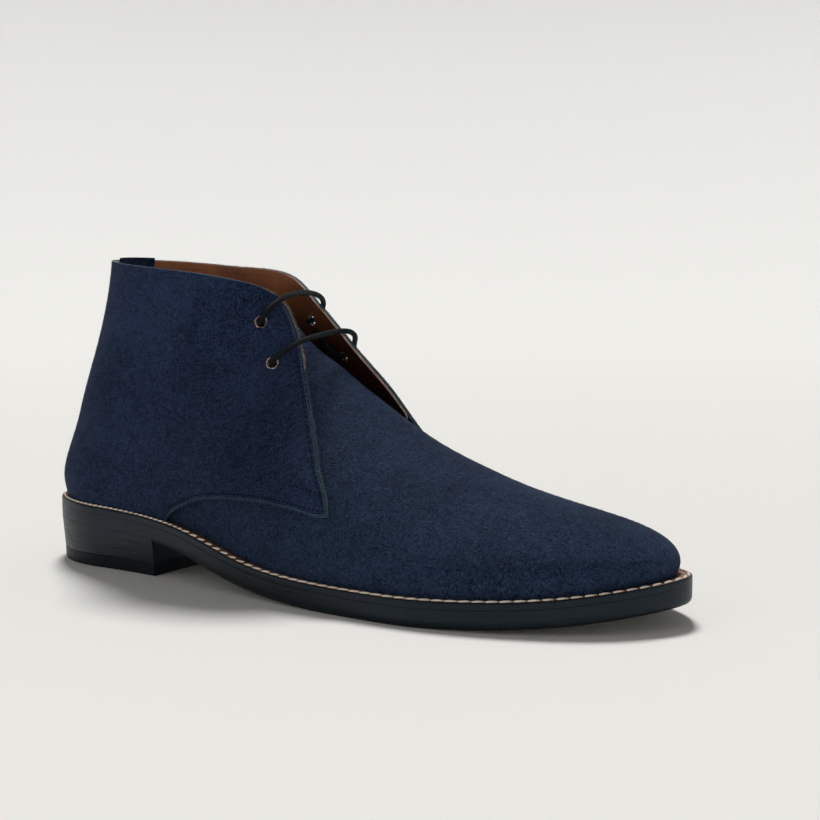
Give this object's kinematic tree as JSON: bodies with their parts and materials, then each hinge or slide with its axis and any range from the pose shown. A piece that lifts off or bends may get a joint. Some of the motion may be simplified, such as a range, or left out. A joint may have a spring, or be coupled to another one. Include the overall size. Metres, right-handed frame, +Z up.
{
  "type": "chukka boot",
  "caption": "Ankle-high suede chukka boot for the right foot, with open lacing over a tongue, leather lining, stitched welt, dark sole and low stacked heel.",
  "frame": {"origin": "middle of the space that the boot stands on, at floor height", "axes": "+X to the toe, +Y to the inner side of the foot, +Z up"},
  "size_m": [0.305, 0.1032, 0.1366],
  "materials": {
    "suede": "napped navy suede",
    "lining": "smooth cognac-brown lining leather",
    "welt": "tan welt with a blackened edge and cream stitches",
    "sole": "black sole leather with a waxed edge",
    "heel": "black stacked heel lifts",
    "top_piece": "matt black rubber",
    "lace": "thin round waxed cord"
  },
  "bodies": {
    "root": {"outsole": "sole", "welt": "welt", "heel_block": "heel", "heel_top_piece": "top_piece", "insole": "lining", "upper": "suede", "tongue": "suede", "lace": "lace"}
  },
  "joints": []
}
